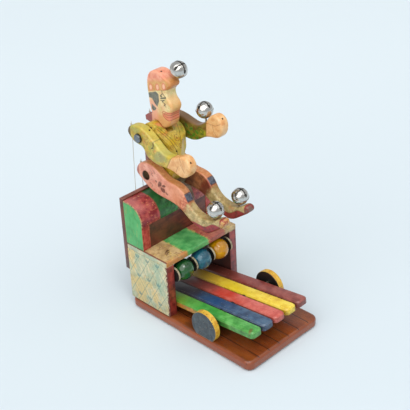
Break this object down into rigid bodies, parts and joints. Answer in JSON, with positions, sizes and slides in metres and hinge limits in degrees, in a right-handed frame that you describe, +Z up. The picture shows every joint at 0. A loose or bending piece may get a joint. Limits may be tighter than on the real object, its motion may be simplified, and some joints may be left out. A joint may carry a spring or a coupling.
{
  "type": "wooden automaton",
  "caption": "Seated wooden jester on a box whose arms, legs and head are raised by strings from wooden finger keys, with a spinning roller of balls below",
  "frame": {"origin": "middle of the base board's underside", "axes": "+Z up; -Y is the front, where the keys are pressed; +X is to the right seen from the front, the side of the figure's left hand"},
  "size_m": [0.12, 0.2101, 0.3114],
  "materials": {
    "base_varnish": "varnished mahogany laminate, satin",
    "wall_left_paint": "brushed paint over wood, worn edges",
    "wall_right_paint": "brushed paint over wood, worn edges",
    "ledge_paint": "brushed paint over wood in several colours, worn",
    "cheek_green_paint": "brushed gloss paint over wood",
    "lid_paint": "brushed paint over thin ply in several colours, worn",
    "dark_brown_paint": "dark brown brushed paint over wood",
    "key_green_paint": "mottled worn paint over wood",
    "key_blue_paint": "mottled worn paint over wood",
    "key_red_paint": "mottled worn paint over wood",
    "key_yellow_paint": "mottled worn paint over wood",
    "key_maroon_paint": "mottled worn paint over wood",
    "block_paint": "brushed paint over wood, ochre rim, worn edges",
    "axle_steel": "drawn wire, satin",
    "washer_fibre": "black fibre, matt",
    "felt": "pressed felt",
    "ball_green_gloss": "gloss enamel",
    "ball_blue_gloss": "gloss enamel",
    "ball_yellow_gloss": "gloss enamel",
    "disc_black_paint": "black paint, bare rims",
    "skin_paint": "thin hand-brushed paint over wood, sealed",
    "coat_paint": "thin hand-brushed paint over wood, sealed",
    "leg_paint": "thin hand-brushed paint over wood, sealed",
    "bell_nickel": "nickel plated, polished",
    "tack_bronze": "dark bronzed dome",
    "string_cotton": "thin waxed cotton",
    "screw_brass": "plain brass"
  },
  "bodies": {
    "case": {"base_board": "base_varnish", "side_wall_left": "wall_left_paint", "side_wall_right": "wall_right_paint", "ledge_board": "ledge_paint", "upper_cheek_left": "cheek_green_paint", "upper_cheek_right": "cheek_green_paint", "curved_lid": "lid_paint", "recess_board": "dark_brown_paint", "back_panel": "dark_brown_paint", "panel_screws": "screw_brass", "torso_screws": "screw_brass", "pivot_block_left": "block_paint", "pivot_block_right": "block_paint", "key_axle": "axle_steel", "key_washers": "washer_fibre", "rest_felt": "felt", "pelvis": "coat_paint", "torso": "coat_paint", "shoulder_axle": "axle_steel", "shoulder_washers": "washer_fibre", "hip_axle": "axle_steel", "neck_axle": "axle_steel", "hip_tacks": "tack_bronze", "string_guide": "dark_brown_paint", "low_string_rod": "axle_steel", "string_low_runs": "string_cotton", "string_arm_right": "string_cotton", "string_leg_right": "string_cotton", "string_head": "string_cotton", "string_leg_left": "string_cotton", "string_arm_left": "string_cotton"},
    "roller": {"roller_rod": "axle_steel", "roller_ball_green": "ball_green_gloss", "roller_ball_blue": "ball_blue_gloss", "roller_ball_yellow": "ball_yellow_gloss", "roller_discs": "disc_black_paint"},
    "key_green": {"key_green": "key_green_paint", "string_at_key_green": "string_cotton"},
    "key_blue": {"key_blue": "key_blue_paint", "string_at_key_blue": "string_cotton"},
    "key_red": {"key_red": "key_red_paint", "string_at_key_red": "string_cotton"},
    "key_yellow": {"key_yellow": "key_yellow_paint", "string_at_key_yellow": "string_cotton"},
    "key_maroon": {"key_maroon": "key_maroon_paint", "string_at_key_maroon": "string_cotton"},
    "arm_right": {"arm_right": "coat_paint"},
    "arm_left": {"arm_left": "coat_paint", "bell_hand": "bell_nickel"},
    "leg_right": {"leg_right": "leg_paint", "bell_foot_right": "bell_nickel"},
    "leg_left": {"leg_left": "leg_paint", "bell_foot_left": "bell_nickel"},
    "head": {"head": "skin_paint", "bell_hat": "bell_nickel"}
  },
  "joints": [
    {"name": "roller_spin", "type": "hinge", "parent": "case", "child": "roller", "pos_m": [0, 0.034, 0.066], "axis": [1, 0, 0], "continuous": true},
    {"name": "arm_right_lift", "type": "hinge", "parent": "case", "child": "arm_right", "pos_m": [0, 0.091, 0.222], "axis": [-1, 0, 0], "range_deg": [0, 28], "deforming": ["string_arm_right"]},
    {"name": "key_green_press", "type": "hinge", "parent": "case", "child": "key_green", "pos_m": [0, -0.0265, 0.03205], "axis": [1, 0, 0], "range_deg": [0, 3.91], "deforming": ["string_at_key_green"]},
    {"name": "leg_right_lift", "type": "hinge", "parent": "case", "child": "leg_right", "pos_m": [0, 0.0915, 0.171], "axis": [-1, 0, 0], "range_deg": [0, 22], "deforming": ["string_leg_right"]},
    {"name": "key_blue_press", "type": "hinge", "parent": "case", "child": "key_blue", "pos_m": [0, -0.0265, 0.03205], "axis": [1, 0, 0], "range_deg": [0, 2.94], "deforming": ["string_at_key_blue"]},
    {"name": "head_lift", "type": "hinge", "parent": "case", "child": "head", "pos_m": [0, 0.086, 0.23], "axis": [-1, 0, 0], "range_deg": [0, 12], "deforming": ["string_head"]},
    {"name": "key_red_press", "type": "hinge", "parent": "case", "child": "key_red", "pos_m": [0, -0.0265, 0.03205], "axis": [1, 0, 0], "range_deg": [0, 2.18], "deforming": ["string_at_key_red"]},
    {"name": "leg_left_lift", "type": "hinge", "parent": "case", "child": "leg_left", "pos_m": [0, 0.0915, 0.171], "axis": [-1, 0, 0], "range_deg": [0, 22], "deforming": ["string_leg_left"]},
    {"name": "key_yellow_press", "type": "hinge", "parent": "case", "child": "key_yellow", "pos_m": [0, -0.0265, 0.03205], "axis": [1, 0, 0], "range_deg": [0, 2.94], "deforming": ["string_at_key_yellow"]},
    {"name": "arm_left_lift", "type": "hinge", "parent": "case", "child": "arm_left", "pos_m": [0, 0.091, 0.222], "axis": [-1, 0, 0], "range_deg": [0, 28], "deforming": ["string_arm_left"]},
    {"name": "key_maroon_press", "type": "hinge", "parent": "case", "child": "key_maroon", "pos_m": [0, -0.0265, 0.03205], "axis": [1, 0, 0], "range_deg": [0, 3.91], "deforming": ["string_at_key_maroon"]}
  ],
  "couplings": [
    {"joint": "key_green_press", "follows": "arm_right_lift", "ratio": 0.13901},
    {"joint": "key_blue_press", "follows": "leg_right_lift", "ratio": 0.13293},
    {"joint": "key_red_press", "follows": "head_lift", "ratio": 0.17984},
    {"joint": "key_yellow_press", "follows": "leg_left_lift", "ratio": 0.13293},
    {"joint": "key_maroon_press", "follows": "arm_left_lift", "ratio": 0.13901}
  ]
}
